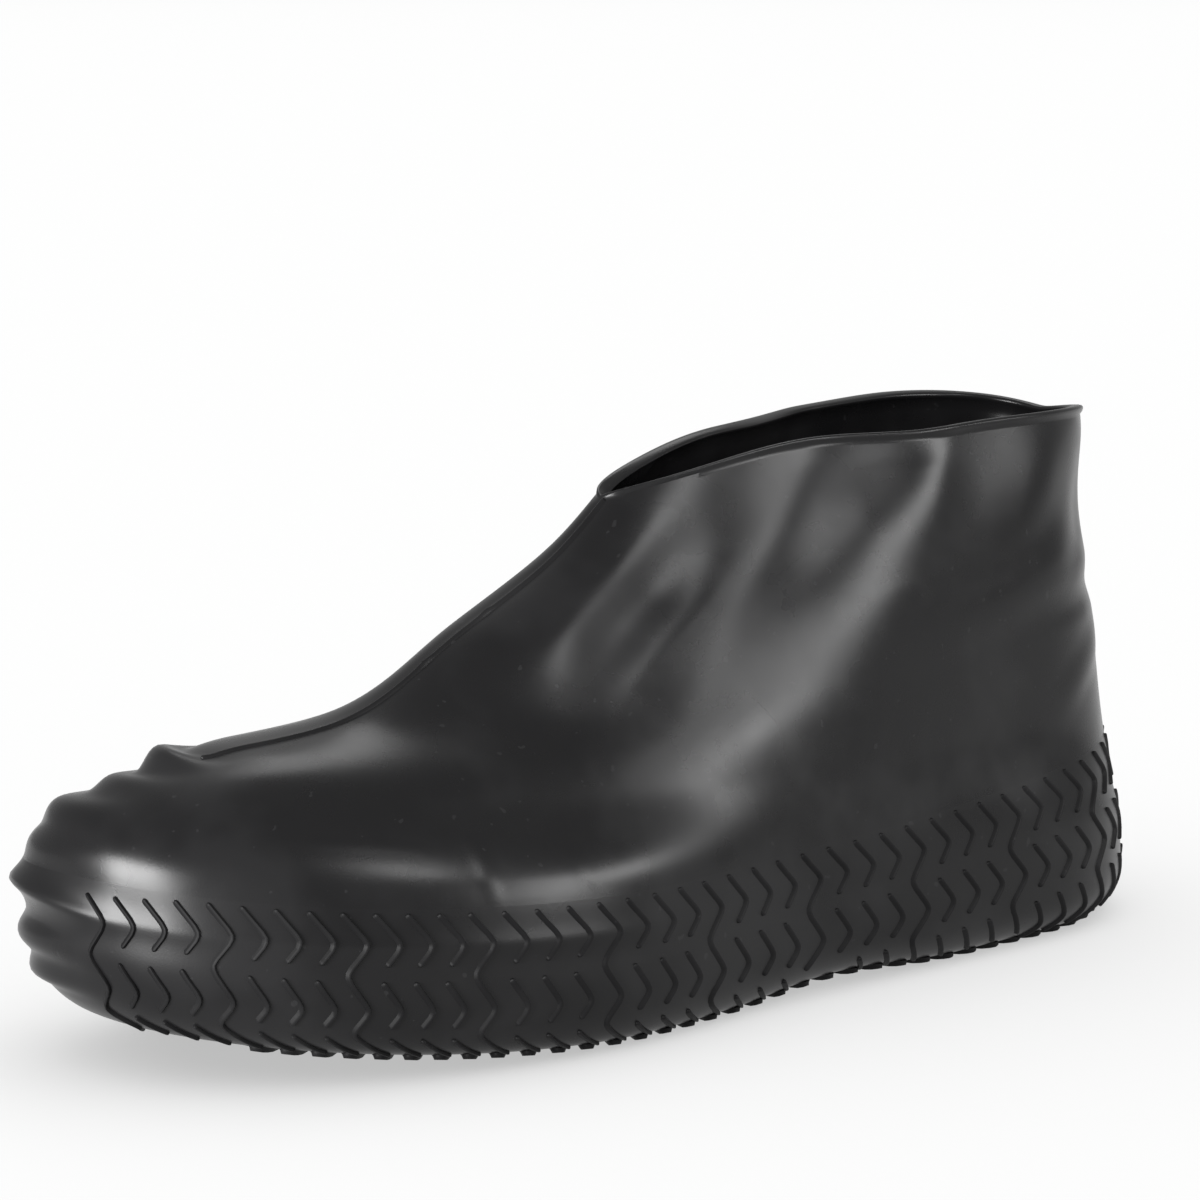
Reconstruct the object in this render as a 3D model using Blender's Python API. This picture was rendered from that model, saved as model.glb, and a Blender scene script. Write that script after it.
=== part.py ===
"""Left rubber overshoe in its worn form: a thin stretch upper lapped into a treaded cup outsole.

The last lies along X, toe at +X, outer side of the foot at +Y, floor at z = 0. Sizes are in millimetres
and become metres where the vertices are made. A place on the last's skin is given by its share of the
way round, from the back of the heel along the outer side to the toe and back along the inner side, and
by its depth below the top line of the tread band, measured along the skin.
"""
import math
from collections import namedtuple
from functools import lru_cache

import bmesh
import bpy
import numpy as np

MM = 0.001

# Driving dimensions of the last
LENGTH = 318.0
BALL_WIDTH = 109.0
WAIST_WIDTH = 90.0
HEEL_WIDTH = 91.0
COLLAR_HEIGHT = 133.0
COLLAR_LIFT = 7.5
TOE_SPRING = 12.0
ARCH_RISE = 2.0
CENTRE_OUT = 5.0
HEEL_SWING = 10.0
TOE_SWING = 18.0

# Where things stand along the last, as shares of its length
HEEL_AT = 0.16
WAIST_AT = 0.42
BALL_AT = 0.68
SPRING_FROM = 0.62
SPRING_POWER = 1.7
ARCH_FROM = 0.27
ARCH_TO = 0.52
HEEL_ROUND = 2.3
INNER_TOE_ROUNDER = 0.2

# Walls and the lap joint between the two pieces
UPPER_WALL = 1.5
CUP_WALL = 2.0
GAP = 0.3
LAP = 10.0
JOGGLE_TOP = 5.0
JOGGLE_FOOT = 2.0

# Top line of the tread band: its lowest height and how far it climbs to heel and toe
BAND_LOW = 37.5
BAND_LOW_AT = 0.58
BAND_HEEL_CLIMB = 12.5
BAND_TOE_CLIMB = 10.5

# Chevron ribs of the band and the bars that they run into underneath. A rib has a foot line and a top line
# on each side of its middle.
RIB_LINES = ((-1, False), (-1, True), (1, True), (1, False))
PITCHES = 88
TOE_PITCH = PITCHES // 2
BARE_TOE_PITCHES = 2
TOE_ROW_PITCHES = 4
WHOLE_ZIGZAG_EVERY = 4
RIB_HEIGHT = 1.2
RIB_FOOT_HALF = 1.4
RIB_TOP_HALF = 0.6
ZIGZAG = 3.2
BARE_FOOT_SHARE = 0.375
BARE_TOP_SHARE = 0.125
BAR_FOOT_HALF = 2.6
BAR_TOP_HALF = 1.8
BAR_VEE = 6.0
BAR_INSET = 6.0
BAR_END_PITCHES = 4

# Rubbers of the two pieces
UPPER_COLOUR = (0.034, 0.034, 0.035)
UPPER_ROUGHNESS = 0.42
CUP_COLOUR = (0.030, 0.030, 0.031)
CUP_ROUGHNESS = 0.50
SHARP_ANGLE = math.radians(40.0)

# Collar bead, front seam and toe ridges
BEAD_PROUD = 1.2
SEAM_PROUD = 0.8
SEAM_HALF = 1.2
SEAM_FROM = 0.25
RIDGE_HALF = 38.0
RIDGE_INWARD = 24.0
TOE_ROWS_FULL = 0.05
TOE_ROWS_GONE = 0.20

# Middle of the shoe's box on the floor, measured from the heel point of the last
ORIGIN = (160.71, 2.2, 0.0)

# Rings of the last from the underside up. Back and front are shares of the length, up shares of the collar
# height above the sole line, heel, waist and ball shares of those widths, lift a share of the collar lift,
# and the ends are the shares of the ring that round off, the toe by a squareness of its own.
Ring = namedtuple("Ring", "name back front back_up front_up heel waist ball lift heel_end toe_end toe_square")
RINGS = (
    Ring("tread", 0.100, 0.880, 0.009, 0.009, 0.420, 0.480, 0.520, 0.00, 0.17, 0.34, 2.2),
    Ring("ground", 0.025, 0.955, 0.009, 0.009, 0.825, 0.820, 0.845, 0.00, 0.16, 0.32, 2.2),
    Ring("edge", 0.006, 0.988, 0.049, 0.049, 0.970, 0.965, 0.965, 0.00, 0.16, 0.32, 2.3),
    Ring("side", 0.000, 1.000, 0.110, 0.125, 1.000, 1.000, 1.000, 0.00, 0.16, 0.32, 2.4),
    Ring("feather", 0.003, 0.997, 0.210, 0.200, 0.980, 0.980, 0.980, 0.00, 0.16, 0.32, 2.4),
    Ring("toe cap", 0.006, 0.990, 0.270, 0.343, 0.940, 0.950, 0.940, 0.00, 0.17, 0.33, 2.3),
    Ring("toe box", 0.010, 0.925, 0.390, 0.461, 0.830, 0.890, 0.745, 0.00, 0.17, 0.34, 2.2),
    Ring("vamp", 0.024, 0.776, 0.541, 0.549, 0.805, 0.840, 0.615, 0.25, 0.18, 0.38, 2.0),
    Ring("instep", 0.036, 0.679, 0.703, 0.693, 0.790, 0.800, 0.485, 0.50, 0.20, 0.42, 2.0),
    Ring("ankle", 0.035, 0.592, 0.847, 0.812, 0.770, 0.710, 0.400, 0.75, 0.24, 0.48, 2.0),
    Ring("collar", 0.032, 0.535, 1.000, 0.925, 0.670, 0.625, 0.330, 1.00, 0.30, 0.55, 2.0),
)
WIDEST = RINGS[3]
STEPS_PER_SPAN = 12
TURN_STEPS = 720
NUDGE = 0.0015

# Rows of the cup's outside from its lip down and under. Depth on the sides and at the toe, zigzag towards
# heel or toe, share of the rib's height on whole and on broken zigzags, and the toe ridge's height.
CupRow = namedtuple("CupRow", "side toe zig whole broken ridge")
CUP_ROWS = (
    CupRow(0.0, 0.0, -1, 0.4, 0.4, 0.0),
    CupRow(7.0, 7.0, 1, 1.0, 1.0, 6.0),
    CupRow(14.5, 12.5, -1, 1.0, 0.3, 0.3),
    CupRow(22.5, 18.0, 1, 1.0, 1.0, 3.0),
    CupRow(30.0, 22.0, -1, 1.0, 0.3, 0.3),
    CupRow(38.0, 26.5, 1, 1.0, 1.0, 2.5),
    CupRow(45.5, 36.0, -1, 1.0, 1.0, 0.0),
)
CUP_INSIDE_SHARES = (0.0, 0.20, 0.40, 0.58, 0.72, 0.86, 1.0)

# Rows of the upper's outside from the band's top to the rim: share of the way up on the sides and over the
# toe, height of the toe ridge there, and share of the collar bead.
UpperRow = namedtuple("UpperRow", "side toe ridge bead")
UPPER_ROWS = (
    UpperRow(0.06, 0.020, 1.0, 0.0),
    UpperRow(0.12, 0.046, 0.2, 0.0),
    UpperRow(0.18, 0.074, 2.4, 0.0),
    UpperRow(0.24, 0.110, 0.2, 0.0),
    UpperRow(0.31, 0.147, 2.8, 0.0),
    UpperRow(0.38, 0.182, 0.2, 0.0),
    UpperRow(0.45, 0.216, 5.5, 0.0),
    UpperRow(0.52, 0.252, 0.0, 0.0),
    UpperRow(0.60, 0.340, 0.0, 0.0),
    UpperRow(0.68, 0.460, 0.0, 0.0),
    UpperRow(0.76, 0.590, 0.0, 0.0),
    UpperRow(0.84, 0.730, 0.0, 0.0),
    UpperRow(0.90, 0.860, 0.0, 0.0),
    UpperRow(0.950, 0.970, 0.0, 0.0),
    UpperRow(0.976, 0.985, 0.0, 1.0),
    UpperRow(1.000, 1.000, 0.0, 0.4),
)
InsideRow = namedtuple("InsideRow", "side toe")
INSIDE_ROWS = (
    InsideRow(1.00, 1.00),
    InsideRow(0.90, 0.86),
    InsideRow(0.76, 0.68),
    InsideRow(0.61, 0.50),
    InsideRow(0.46, 0.34),
    InsideRow(0.31, 0.21),
    InsideRow(0.16, 0.11),
)

# Soft dents of the wall: share of the way round and up, reach each way in those shares, and depth
Dent = namedtuple("Dent", "round up reach_round reach_up deep")
DENTS = (
    Dent(0.095, 0.72, 0.060, 0.22, 3.5),
    Dent(0.905, 0.72, 0.060, 0.22, 3.5),
    Dent(0.000, 0.50, 0.050, 0.10, 2.0),
)


def smooth(value):
    """Ease from 0 to 1 as the value goes from 0 to 1."""
    value = min(max(value, 0.0), 1.0)
    return value * value * (3.0 - 2.0 * value)


def mix(first, second, share):
    return first + (second - first) * share


def hump(distance, half_width):
    """Soft hump of height 1 that fades out at the half width."""
    share = min(abs(distance) / half_width, 1.0)
    return 0.5 + 0.5 * math.cos(math.pi * share)


def sole_line(x):
    """Height of the underside above the floor: flat at heel and ball, a slight arch, then the toe spring."""
    along = x / LENGTH
    spring = max(along - SPRING_FROM, 0.0) / (1.0 - SPRING_FROM)
    arch = hump(along - (ARCH_FROM + ARCH_TO) / 2, (ARCH_TO - ARCH_FROM) / 2)
    return TOE_SPRING * spring ** SPRING_POWER + ARCH_RISE * arch


def band_top(x):
    """Height of the tread band's top line."""
    low = BAND_LOW_AT * LENGTH
    heel_part = max(1.0 - x / low, 0.0)
    toe_part = max((x - low) / (LENGTH - low), 0.0)
    return BAND_LOW + BAND_HEEL_CLIMB * heel_part ** 2 + BAND_TOE_CLIMB * toe_part ** 2


def centre_line(x):
    """Sideways place of the shoe's middle, which swings inwards to the heel and further to the big toe."""
    from_middle = 2.0 * x / LENGTH - 1.0
    return CENTRE_OUT - (TOE_SWING if from_middle > 0.0 else HEEL_SWING) * from_middle ** 2


def half_width(ring, along, toe_square):
    """Half the ring's width, with its heel and toe ends rounded off."""
    heel = ring.heel * HEEL_WIDTH / 2
    waist = ring.waist * WAIST_WIDTH / 2
    ball = ring.ball * BALL_WIDTH / 2
    if along < WAIST_AT:
        width = mix(heel, waist, smooth((along - HEEL_AT) / (WAIST_AT - HEEL_AT)))
    else:
        width = mix(waist, ball, smooth((along - WAIST_AT) / (BALL_AT - WAIST_AT)))
    heel_part = max(1.0 - along / ring.heel_end, 0.0)
    toe_part = max(1.0 - (1.0 - along) / ring.toe_end, 0.0)
    heel_cap = (1.0 - heel_part ** HEEL_ROUND) ** (1.0 / HEEL_ROUND)
    toe_cap = max(1.0 - toe_part ** toe_square, 0.0) ** (1.0 / toe_square)
    return width * heel_cap * toe_cap


def ring_point(ring, turn):
    """Point of a ring at a turn from 0 at the heel over pi at the toe."""
    along = (1.0 - math.cos(turn)) / 2
    x = mix(ring.back, ring.front, along) * LENGTH
    if turn <= math.pi:
        y = centre_line(x) + half_width(ring, along, ring.toe_square)
    else:
        y = centre_line(x) - half_width(ring, along, ring.toe_square - INNER_TOE_ROUNDER)
    up = mix(ring.back_up, ring.front_up, along) * COLLAR_HEIGHT
    z = up + sole_line(x) + ring.lift * COLLAR_LIFT * abs(math.sin(turn))
    return x, y, z


def turn_table():
    """Turns and the shares of the way round that they stand for, even along the widest ring."""
    turns = np.linspace(0.0, 2.0 * math.pi, TURN_STEPS + 1)
    outline = np.array([ring_point(WIDEST, turn) for turn in turns])
    lengths = np.linalg.norm(np.diff(outline, axis=0), axis=1)
    travelled = np.concatenate(([0.0], np.cumsum(lengths)))
    return turns, travelled / travelled[-1], travelled[-1]


TURNS, SHARES, PERIMETER = turn_table()


def loft_weights():
    """Weights that draw a smooth profile through the rings, a row of them for each step of the profile."""
    last = len(RINGS) - 1
    rows = []
    for step in range(last * STEPS_PER_SPAN + 1):
        span = min(step // STEPS_PER_SPAN, last - 1)
        t = step / STEPS_PER_SPAN - span
        basis = (
            (-t + 2 * t ** 2 - t ** 3) / 2,
            (2 - 5 * t ** 2 + 3 * t ** 3) / 2,
            (t + 4 * t ** 2 - 3 * t ** 3) / 2,
            (-t ** 2 + t ** 3) / 2,
        )
        row = np.zeros(len(RINGS))
        for place, weight in zip(range(span - 1, span + 3), basis):
            row[min(max(place, 0), last)] += weight
        rows.append(row)
    return np.array(rows)


WEIGHTS = loft_weights()


def profile(share):
    """Points of the skin from the underside to the collar at a share of the way round."""
    turn = np.interp(share % 1.0, SHARES, TURNS)
    points = WEIGHTS @ np.array([ring_point(ring, turn) for ring in RINGS])
    floor = [sole_line(x) + RIB_HEIGHT for x in points[:, 0]]
    points[:, 2] = np.maximum(points[:, 2], floor)
    return points


@lru_cache(maxsize=None)
def column(share):
    """Skin's profile: heights above the band's top along it, points, outward normals."""
    points = profile(share)
    around = profile(share + NUDGE) - profile(share - NUDGE)
    normals = np.cross(np.gradient(points, axis=0), around)
    normals /= np.linalg.norm(normals, axis=1)[:, None]
    arc = np.concatenate(([0.0], np.cumsum(np.linalg.norm(np.diff(points, axis=0), axis=1))))
    above = points[:, 2] - np.array([band_top(x) for x in points[:, 0]])
    return arc - np.interp(0.0, above, arc), points, normals


def skin(share, depth, out=0.0):
    """Point of the last's skin, moved outwards along its normal."""
    heights, points, normals = column(round(share % 1.0, 9))
    point = [np.interp(-depth, heights, points[:, axis]) for axis in range(3)]
    normal = [np.interp(-depth, heights, normals[:, axis]) for axis in range(3)]
    length = math.hypot(*normal)
    return tuple(p + out * n / length for p, n in zip(point, normal))


def rise(share):
    """Length of the skin from the band's top to the rim."""
    return column(round(share % 1.0, 9))[0][-1]


def ground_depth(share):
    """Depth at which the skin comes to the ground."""
    return -column(round(share % 1.0, 9))[0][STEPS_PER_SPAN]


def to_toe(share):
    """Distance round the widest ring from the middle of the toe."""
    return (share % 1.0 - 0.5) * PERIMETER


def ridge_share(share):
    """1 over the middle of the toe ridges, on the big toe's side of the tip, fading to 0 at their ends."""
    return hump(to_toe(share) - RIDGE_INWARD, RIDGE_HALF)


def toe_share(share):
    """1 over the toe, where rows follow the ridges, fading to 0 on the sides."""
    away = abs(share % 1.0 - 0.5)
    return 1.0 - smooth((away - TOE_ROWS_FULL) / (TOE_ROWS_GONE - TOE_ROWS_FULL))


def dents(share, up):
    """How far the soft dents pull the wall in."""
    deep = 0.0
    for dent in DENTS:
        away = abs((share - dent.round + 0.5) % 1.0 - 0.5)
        deep += dent.deep * hump(away, dent.reach_round) * hump(up - dent.up, dent.reach_up)
    return deep


def vertex_place(point):
    """Shoe point in millimetres to the part's frame in metres."""
    return [(value - middle) * MM for value, middle in zip(point, ORIGIN)]


def first_ring(bm, points):
    """Closed ring of vertices and edges through the points."""
    ring = [bm.verts.new(vertex_place(point)) for point in points]
    for one, two in zip(ring, ring[1:] + ring[:1]):
        bm.edges.new((one, two))
    return ring


def next_ring(bm, ring, points):
    """Extrude a closed ring once and move the new ring onto the points."""
    edges = [bm.edges.get(pair) for pair in zip(ring, ring[1:] + ring[:1])]
    grown = bmesh.ops.extrude_edge_only(bm, edges=edges)["geom"]
    fresh = {piece for piece in grown if isinstance(piece, bmesh.types.BMVert)}
    following = []
    for old, point in zip(ring, points):
        new = next(edge.other_vert(old) for edge in old.link_edges if edge.other_vert(old) in fresh)
        new.co = vertex_place(point)
        following.append(new)
    return following


def ring_stack(bm, rows):
    """Wall through rows of points; gives its first and last rings."""
    first = first_ring(bm, rows[0])
    last = first
    for points in rows[1:]:
        last = next_ring(bm, last, points)
    return first, last


def join_rings(bm, many, few, starts):
    """Close the strip between two rings; starts gives the many-ring index beside each vertex of the few."""
    count = len(many)
    for place, start in enumerate(starts):
        stop = starts[(place + 1) % len(starts)]
        run = [start]
        while run[-1] != stop:
            run.append((run[-1] + 1) % count)
        bm.faces.new([many[index] for index in run] + [few[(place + 1) % len(few)], few[place]])


def finish_object(name, bm, colour, roughness):
    """Turn a closed bmesh into a named object with its own rubber."""
    bmesh.ops.recalc_face_normals(bm, faces=bm.faces)
    mesh = bpy.data.meshes.new(name)
    bm.to_mesh(mesh)
    bm.free()
    mesh.shade_smooth()
    mesh.set_sharp_from_angle(angle=SHARP_ANGLE)
    rubber = bpy.data.materials.new(name + " rubber")
    rubber.use_nodes = True
    shader = rubber.node_tree.nodes["Principled BSDF"]
    shader.inputs["Base Color"].default_value = (*colour, 1.0)
    shader.inputs["Roughness"].default_value = roughness
    shader.inputs["Metallic"].default_value = 0.0
    mesh.materials.append(rubber)
    made = bpy.data.objects.new(name, mesh)
    bpy.context.scene.collection.objects.link(made)
    return made


def toe_pitches(pitch):
    """Pitches between a rib and the middle of the toe."""
    return abs(pitch - TOE_PITCH)


def heelward(pitch):
    """Way round that leads to the heel: down the shares on the outer side, up them on the inner side."""
    if pitch in (0, TOE_PITCH):
        return 0
    return -1 if pitch < TOE_PITCH else 1


def is_bare(pitch):
    """Whether the pitch lies on the bare middle of the toe, which has no ribs."""
    return toe_pitches(pitch) < BARE_TOE_PITCHES


def line_half(pitch, is_top, foot_half, top_half):
    """Distance of a rib's lines from its middle; on the bare toe the four lines are evenly spread."""
    if is_bare(pitch):
        return PERIMETER / PITCHES * (BARE_TOP_SHARE if is_top else BARE_FOOT_SHARE)
    return top_half if is_top else foot_half


def wall_vertex(row, pitch, side, is_top):
    """Point of the cup's outer wall in a row, on one of a rib's lines."""
    shift = 0.0 if is_bare(pitch) else row.zig * ZIGZAG * heelward(pitch)
    half = line_half(pitch, is_top, RIB_FOOT_HALF, RIB_TOP_HALF)
    share = pitch / PITCHES + (shift + side * half) / PERIMETER
    beyond_bare = toe_pitches(pitch) - BARE_TOE_PITCHES
    depth = mix(row.toe, row.side, smooth(beyond_bare / TOE_ROW_PITCHES))
    ridge = row.ridge * ridge_share(share)
    rib = 0.0
    if is_top and not is_bare(pitch):
        rib = RIB_HEIGHT * (row.whole if beyond_bare % WHOLE_ZIGZAG_EVERY == 0 else row.broken)
    return skin(share, min(depth, ground_depth(share)), rib + ridge)


def bar_vertex(pitch, side, is_top):
    """Point under the cup's edge, where a rib's lines become those of a bar."""
    half = line_half(pitch, is_top, BAR_FOOT_HALF, BAR_TOP_HALF)
    share = pitch / PITCHES + side * half / PERIMETER
    x, y, _z = skin(share, ground_depth(share) + BAR_INSET)
    has_bar = BAR_END_PITCHES < toe_pitches(pitch) < TOE_PITCH - BAR_END_PITCHES
    return x, y, sole_line(x) + (0.0 if is_top and has_bar else RIB_HEIGHT)


def close_underside(bm, ring):
    """Close the cup's underside with bars that run across in a vee, and a plain patch at each end."""
    lines = len(RIB_LINES)
    ring = ring[lines // 2:] + ring[:lines // 2]
    first = lines * BAR_END_PITCHES + 1
    last = len(ring) // 2 - 1 - first
    middles = {}
    for index in range(first, last + 1):
        point = (ring[index].co + ring[-1 - index].co) / 2
        point.x += BAR_VEE * MM
        lift = 0.0 if index % lines in (0, lines - 1) else RIB_HEIGHT
        point.z = (sole_line(point.x / MM + ORIGIN[0]) + lift) * MM
        middles[index] = bm.verts.new(point)
    for index in range(first, last):
        following = index + 1
        bm.faces.new((ring[index], ring[following], middles[following], middles[index]))
        bm.faces.new((ring[-1 - following], ring[-1 - index], middles[index], middles[following]))
    bm.faces.new(ring[-1 - first:] + ring[:first + 1] + [middles[first]])
    bm.faces.new(ring[last:len(ring) - last] + [middles[last]])


def close_floor(bm, ring):
    """Close the cup's floor with straight strips across and a patch at each end."""
    count = len(ring)
    first, last = BAR_END_PITCHES, count // 2 - BAR_END_PITCHES
    for index in range(first, last):
        bm.faces.new((ring[index], ring[index + 1], ring[count - index - 1], ring[count - index]))
    bm.faces.new([ring[index % count] for index in range(-first, first + 1)])
    bm.faces.new(ring[last:count - last + 1])


def make_outsole():
    """Treaded cup: ribbed outside, bars underneath and a plain inside."""
    bm = bmesh.new()
    places = [(pitch, side, is_top) for pitch in range(PITCHES) for side, is_top in RIB_LINES]
    rows = [[wall_vertex(row, *place) for place in places] for row in CUP_ROWS]
    rows.append([bar_vertex(*place) for place in places])
    lip, underside = ring_stack(bm, rows)
    close_underside(bm, underside)
    shares = [pitch / PITCHES for pitch in range(PITCHES)]
    inside = [
        [skin(share, part * (ground_depth(share) + BAR_INSET), -CUP_WALL) for share in shares]
        for part in CUP_INSIDE_SHARES
    ]
    inner_lip, floor = ring_stack(bm, inside)
    close_floor(bm, floor)
    join_rings(bm, lip, inner_lip, [len(RIB_LINES) * pitch + 1 for pitch in range(PITCHES)])
    return finish_object("outsole", bm, CUP_COLOUR, CUP_ROUGHNESS)


def upper_outside(share, row):
    """Point of the upper's outside in a row: skin, toe ridge, front seam, collar bead and dents."""
    up = mix(row.side, row.toe, toe_share(share))
    out = row.ridge * ridge_share(share) + row.bead * BEAD_PROUD - dents(share, up)
    if abs(to_toe(share)) < SEAM_HALF / 2 and row.toe > SEAM_FROM:
        out += SEAM_PROUD
    return skin(share, -up * rise(share), out)


def upper_inside(share, row):
    """Point of the upper's inside in a row."""
    up = mix(row.side, row.toe, toe_share(share))
    return skin(share, -up * rise(share), -UPPER_WALL - dents(share, up))


def make_upper():
    """Hollow stretch upper, open at the collar and underneath, its foot stepped in to lie inside the cup."""
    bm = bmesh.new()
    pitch_shares = [pitch / PITCHES for pitch in range(PITCHES)]
    seam_sides = [0.5 - SEAM_HALF / PERIMETER, 0.5 + SEAM_HALF / PERIMETER]
    outer_shares = sorted(pitch_shares + seam_sides)
    inner_shares = pitch_shares[::2]
    lap_out = -(CUP_WALL + GAP)
    outside = [
        [skin(share, LAP, lap_out) for share in outer_shares],
        [skin(share, -GAP, lap_out) for share in outer_shares],
        [skin(share, -GAP) for share in outer_shares],
    ]
    outside += [[upper_outside(share, row) for share in outer_shares] for row in UPPER_ROWS]
    inside = [[upper_inside(share, row) for share in inner_shares] for row in INSIDE_ROWS]
    inside += [
        [skin(share, -JOGGLE_TOP, -UPPER_WALL) for share in inner_shares],
        [skin(share, -JOGGLE_FOOT, lap_out - UPPER_WALL) for share in inner_shares],
        [skin(share, LAP, lap_out - UPPER_WALL) for share in inner_shares],
    ]
    hem, rim = ring_stack(bm, outside)
    inner_rim, inner_hem = ring_stack(bm, inside)
    starts = [outer_shares.index(share) for share in inner_shares]
    join_rings(bm, rim, inner_rim, starts)
    join_rings(bm, hem, inner_hem, starts)
    return finish_object("upper", bm, UPPER_COLOUR, UPPER_ROUGHNESS)


def main():
    for old in list(bpy.data.objects):
        bpy.data.objects.remove(old, do_unlink=True)
    make_outsole()
    make_upper()


main()
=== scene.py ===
"""Looks of a left rubber overshoe: moulded skins, chevron tread, front seam and studio around its frame.

Tables and skin sizes are in millimetres, properties and the studio in metres. A place on the last's skin is
given by its share of the way round, from the back of the heel along the outer side to the toe and back along
the inner side, and by its depth below the top line of the tread band, measured along the skin.
"""
import math
from collections import namedtuple
from functools import lru_cache

import bmesh
import bpy
import numpy as np
from bpy.props import FloatProperty, FloatVectorProperty, PointerProperty
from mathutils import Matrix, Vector


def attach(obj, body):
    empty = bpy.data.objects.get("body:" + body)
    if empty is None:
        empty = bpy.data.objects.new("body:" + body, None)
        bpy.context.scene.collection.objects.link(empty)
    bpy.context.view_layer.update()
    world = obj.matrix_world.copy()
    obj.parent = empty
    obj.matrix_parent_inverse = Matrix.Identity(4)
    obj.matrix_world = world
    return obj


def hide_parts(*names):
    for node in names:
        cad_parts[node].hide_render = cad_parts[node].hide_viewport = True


bl_info = {
    "name": "Rubber Overshoe",
    "version": (1, 0, 0),
    "blender": (4, 5, 0),
    "location": "3D View > Sidebar > Overshoe",
    "description": "Moulded skins, tread and studio of a rubber overshoe, built around its frame",
    "category": "Object",
}

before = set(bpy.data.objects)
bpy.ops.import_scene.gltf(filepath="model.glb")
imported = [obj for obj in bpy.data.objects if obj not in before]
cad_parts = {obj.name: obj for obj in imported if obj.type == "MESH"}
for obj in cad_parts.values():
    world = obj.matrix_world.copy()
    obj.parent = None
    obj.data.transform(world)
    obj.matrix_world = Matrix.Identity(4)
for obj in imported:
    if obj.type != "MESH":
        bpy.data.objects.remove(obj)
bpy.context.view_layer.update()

MM = 0.001

# Middle of the shoe's box on the floor, measured from the heel point of the last
ORIGIN = np.array((160.71, 2.2, 0.0))

# Where things stand along the last, as shares of its length
HEEL_AT = 0.16
WAIST_AT = 0.42
BALL_AT = 0.68
SPRING_FROM = 0.62
SPRING_POWER = 1.7
ARCH_FROM = 0.27
ARCH_TO = 0.52
HEEL_ROUND = 2.3
INNER_TOE_ROUNDER = 0.2

# Sideways place of the shoe's middle, and how far it swings in at heel and toe
CENTRE_OUT = 5.0
HEEL_SWING = 10.0
TOE_SWING = 18.0

# Share of the way round at which the toe lies
TOE_SHARE = 0.5

# Top line of the tread band: its lowest height and how far it climbs to heel and toe
BAND_LOW = 37.5
BAND_LOW_AT = 0.58
BAND_HEEL_CLIMB = 12.5
BAND_TOE_CLIMB = 10.5

# Rings of the last from the underside up. Back and front are shares of the length, up shares of the collar
# height above the sole line, heel, waist and ball shares of those widths, lift a share of the collar lift,
# and the ends are the shares of the ring that round off, the toe by a squareness of its own.
Ring = namedtuple("Ring", "name back front back_up front_up heel waist ball lift heel_end toe_end toe_square")
RINGS = (
    Ring("tread", 0.100, 0.880, 0.009, 0.009, 0.420, 0.480, 0.520, 0.00, 0.17, 0.34, 2.2),
    Ring("ground", 0.025, 0.955, 0.009, 0.009, 0.825, 0.820, 0.845, 0.00, 0.16, 0.32, 2.2),
    Ring("edge", 0.006, 0.988, 0.049, 0.049, 0.970, 0.965, 0.965, 0.00, 0.16, 0.32, 2.3),
    Ring("side", 0.000, 1.000, 0.110, 0.125, 1.000, 1.000, 1.000, 0.00, 0.16, 0.32, 2.4),
    Ring("feather", 0.003, 0.997, 0.210, 0.200, 0.980, 0.980, 0.980, 0.00, 0.16, 0.32, 2.4),
    Ring("toe cap", 0.006, 0.990, 0.270, 0.343, 0.940, 0.950, 0.940, 0.00, 0.17, 0.33, 2.3),
    Ring("toe box", 0.010, 0.925, 0.390, 0.461, 0.830, 0.890, 0.745, 0.00, 0.17, 0.34, 2.2),
    Ring("vamp", 0.024, 0.776, 0.541, 0.549, 0.805, 0.840, 0.615, 0.25, 0.18, 0.38, 2.0),
    Ring("instep", 0.036, 0.679, 0.703, 0.693, 0.790, 0.800, 0.485, 0.50, 0.20, 0.42, 2.0),
    Ring("ankle", 0.035, 0.592, 0.847, 0.812, 0.770, 0.710, 0.400, 0.75, 0.24, 0.48, 2.0),
    Ring("collar", 0.032, 0.535, 1.000, 0.925, 0.670, 0.625, 0.330, 1.00, 0.30, 0.55, 2.0),
)
WIDEST = RINGS[3]
GROUND = 1

# Grid of the last's skin, and rounds of easing it
STEPS_PER_SPAN = 24
TURN_STEPS = 1440
COLUMNS = 1080
PROFILE_STEPS = 300
TOP_ROW = PROFILE_STEPS - 1.001
RELAX_ROUND = 40
RELAX_UP = 16

# Meshes of the skins
SKIN_COLUMNS = 480
TOE_DENSER = 0.45
UPPER_ROWS = 124
TOE_ROW_SLOPE = 0.45
TOE_ROWS_FULL = 0.05
TOE_ROWS_GONE = 0.20
BEAD_TURNS = (125, 100, 75, 50, 25, 0, -25, -50, -75, -100, -125)
INSIDE_ROWS = 30
CUP_ROWS = 54
CUP_INSIDE_ROWS = 16
FLOOR_ROWS = 4

# Lap joint between the two skins
GAP = 0.3
LAP = 10.0
JOGGLE_TOP = 5.0
JOGGLE_FOOT = 2.0
UNDER_INSET = 6.0
BASE_LIFT = 1.2

# Toe ridges: depth below the band's top, height, half width up and down, reach round the toe, sharpness.
# They lie on the big toe's side of the tip.
RIDGE_INWARD = 24.0
Ridge = namedtuple("Ridge", "depth height half reach sharp")
TOE_RIDGES = (
    Ridge(-39.5, 3.9, 7.5, 38.0, 1.1),
    Ridge(-27.5, 1.9, 7.0, 38.0, 1.0),
    Ridge(-14.0, 2.0, 7.0, 38.0, 1.0),
    Ridge(-4.0, 1.0, 5.0, 38.0, 1.0),
    Ridge(17.0, 2.4, 5.5, 36.0, 1.0),
    Ridge(25.5, 2.0, 4.5, 34.0, 1.0),
)

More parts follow.
